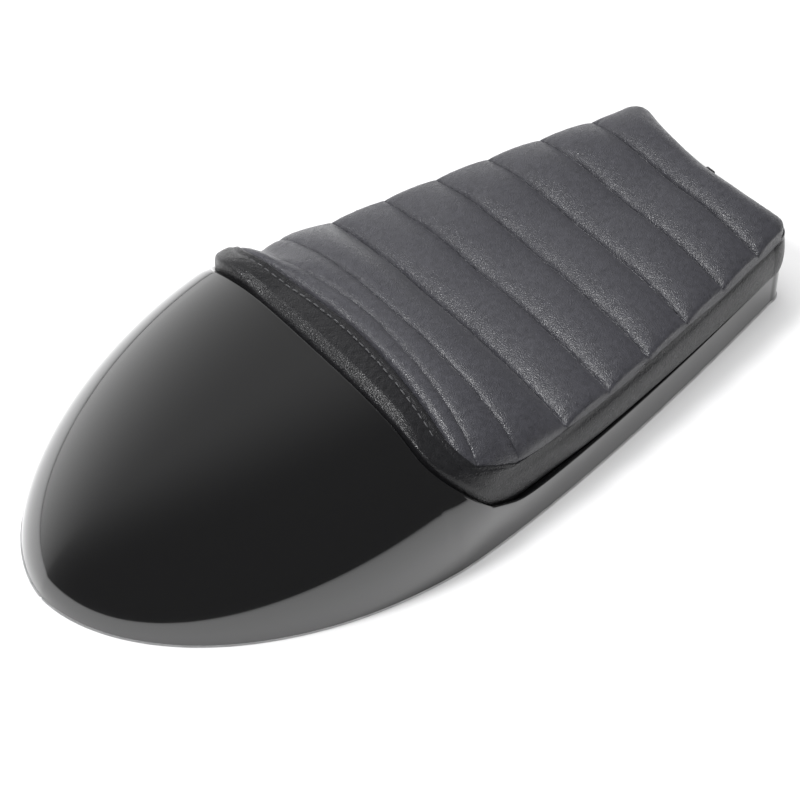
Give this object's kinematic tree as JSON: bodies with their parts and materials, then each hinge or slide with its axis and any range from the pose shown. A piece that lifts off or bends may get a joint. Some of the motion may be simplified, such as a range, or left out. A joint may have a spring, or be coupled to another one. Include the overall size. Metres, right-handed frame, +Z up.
{
  "type": "motorcycle seat",
  "caption": "Cafe racer seat: one-piece humped tail shell, hollow underneath, with a tuck-and-roll pad and a rear bolster held in its recess.",
  "frame": {"origin": "under the middle of the seat's bounding box, on the plane of the shell's bottom rim", "axes": "+X towards the front of the seat, +Y to the rider's left, +Z up"},
  "size_m": [0.6049, 0.3038, 0.1017],
  "materials": {
    "shell": "gloss",
    "board": "matte",
    "foam": "matte",
    "leather": "satin",
    "thread": "matte",
    "steel": "zinc plated",
    "brass": "machined"
  },
  "bodies": {
    "root": {"tail_shell": "shell", "base_board": "board", "foam_core": "foam", "rib_cover": "leather", "side_band": "leather", "front_tab": "leather", "topstitch": "thread", "pad_studs": "steel", "pad_washers": "steel", "pad_nuts": "steel", "mount_bushes": "brass"}
  },
  "joints": []
}
